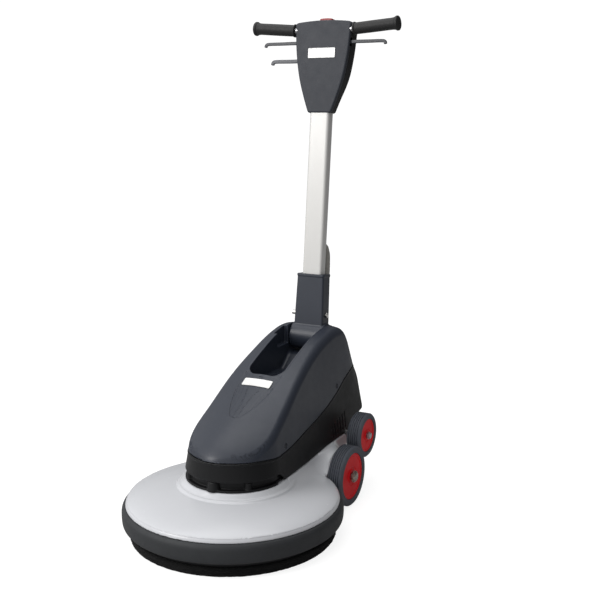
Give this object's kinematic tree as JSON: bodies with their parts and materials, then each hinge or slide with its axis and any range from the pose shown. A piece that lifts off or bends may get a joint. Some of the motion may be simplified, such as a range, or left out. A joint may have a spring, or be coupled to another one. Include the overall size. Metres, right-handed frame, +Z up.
{
  "type": "rotary floor machine",
  "caption": "Single-pad rotary floor machine with round white deck, sloping motor hood, wheels at the rear and a folding upright handle with control console.",
  "frame": {"origin": "on the floor plane, under the pad spindle", "axes": "+Z up the spindle, -Y towards the nose, +Y towards the wheels and the operator, +X across"},
  "size_m": [0.5428, 0.8171, 1.2568],
  "materials": {
    "pad_fibre": "open nylon floor pad",
    "black_shell": "near-black textured moulding",
    "slate_shell": "satin slate grey moulding",
    "deck_white": "smooth light grey moulding",
    "bumper_rubber": "dark grey bumper",
    "tyre_grey": "grey non-marking tyre",
    "hub_red": "red wheel centre",
    "chrome": "polished",
    "steel": "plain",
    "cast_aluminium": "cast",
    "copper_winding": "varnished copper",
    "tube_silver": "silver white coating",
    "conduit_grey": "grey conduit",
    "grip_rubber": "black ribbed grip",
    "lever_black": "black lever",
    "lever_grey": "grey lever",
    "button_red": "dull red button",
    "badge_white": "blank plate"
  },
  "bodies": {
    "chassis": {"motor_housing": "cast_aluminium", "motor_stator": "copper_winding", "lower_bearing": "steel", "upper_bearing": "steel", "motor_cover": "cast_aluminium", "deck_housing": "deck_white", "bumper_ring": "bumper_rubber", "base_ring": "black_shell", "hood_upper": "slate_shell", "hood_lower": "black_shell", "hood_screw_front_right": "steel", "hood_screw_rear_right": "steel", "hood_screw_front_left": "steel", "hood_screw_rear_left": "steel", "hood_badge": "badge_white", "run_capacitor": "cast_aluminium", "capacitor_bracket": "steel", "terminal_box": "black_shell", "pivot_bracket": "steel", "pivot_pin": "steel", "working_axle": "steel", "transport_axle": "steel", "axle_bracket_right": "steel", "axle_cap_right": "chrome", "axle_bolt_right": "steel", "axle_bracket_left": "steel", "axle_cap_left": "chrome", "axle_bolt_left": "steel"},
    "handle": {"handle_socket": "slate_shell", "handle_tube": "tube_silver", "socket_bolt": "chrome", "socket_nut": "chrome", "cable_conduit": "conduit_grey", "console_front": "slate_shell", "console_rear": "black_shell", "console_badge": "badge_white", "power_inlet": "black_shell", "micro_switch": "black_shell", "handlebar": "steel", "grip_right": "grip_rubber", "grip_left": "grip_rubber"},
    "pad_rotor": {"floor_pad": "pad_fibre", "pad_driver": "black_shell", "drive_hub": "cast_aluminium", "motor_shaft": "steel", "motor_rotor": "steel", "cooling_fan": "black_shell"},
    "working_wheel_right": {"working_tyre_right": "tyre_grey", "working_hub_right": "hub_red"},
    "working_wheel_left": {"working_tyre_left": "tyre_grey", "working_hub_left": "hub_red"},
    "transport_wheel_right": {"transport_tyre_right": "tyre_grey", "transport_hub_right": "hub_red"},
    "transport_wheel_left": {"transport_tyre_left": "tyre_grey", "transport_hub_left": "hub_red"},
    "lever_right": {"switch_lever_right": "lever_black"},
    "lever_left": {"switch_lever_left": "lever_black"},
    "release": {"release_lever": "lever_grey"},
    "latch": {"release_rod": "steel"},
    "button": {"lockout_button": "button_red"}
  },
  "joints": [
    {"name": "handle_fold", "type": "hinge", "parent": "chassis", "child": "handle", "pos_m": [0, 0.4206, 0.4041], "axis": [1, 0, 0], "range_deg": [-50, 88]},
    {"name": "pad_spin", "type": "hinge", "parent": "chassis", "child": "pad_rotor", "pos_m": [0, 0, 0.1], "axis": [0, 0, 1], "continuous": true},
    {"name": "working_right_roll", "type": "hinge", "parent": "chassis", "child": "working_wheel_right", "pos_m": [0, 0.275, 0.079], "axis": [1, 0, 0], "continuous": true},
    {"name": "working_left_roll", "type": "hinge", "parent": "chassis", "child": "working_wheel_left", "pos_m": [0, 0.275, 0.079], "axis": [1, 0, 0], "continuous": true},
    {"name": "transport_right_roll", "type": "hinge", "parent": "chassis", "child": "transport_wheel_right", "pos_m": [0, 0.398, 0.151], "axis": [1, 0, 0], "continuous": true},
    {"name": "transport_left_roll", "type": "hinge", "parent": "chassis", "child": "transport_wheel_left", "pos_m": [0, 0.398, 0.151], "axis": [1, 0, 0], "continuous": true},
    {"name": "lever_right_squeeze", "type": "hinge", "parent": "handle", "child": "lever_right", "pos_m": [0.058, 0.50155, 1.19198], "axis": [0, -0.994, 0.1097], "range_deg": [0, 8], "stiffness_Nm_per_rad": 1},
    {"name": "lever_left_squeeze", "type": "hinge", "parent": "handle", "child": "lever_left", "pos_m": [-0.058, 0.50155, 1.19198], "axis": [0, 0.994, -0.1097], "range_deg": [0, 8], "stiffness_Nm_per_rad": 1},
    {"name": "release_squeeze", "type": "hinge", "parent": "handle", "child": "release", "pos_m": [-0.056, 0.49639, 1.14526], "axis": [0, 0.994, -0.1097], "range_deg": [0, 12], "stiffness_Nm_per_rad": 1},
    {"name": "latch_lift", "type": "slide", "parent": "handle", "child": "latch", "axis": [0, 0.1097, 0.994], "range_m": [0, 0.0065]},
    {"name": "button_press", "type": "slide", "parent": "handle", "child": "button", "axis": [0, -0.1097, -0.994], "range_m": [0, 0.004], "stiffness_N_per_m": 300}
  ],
  "couplings": [
    {"joint": "latch_lift", "follows": "release_squeeze", "m_per_rad": 0.03}
  ]
}
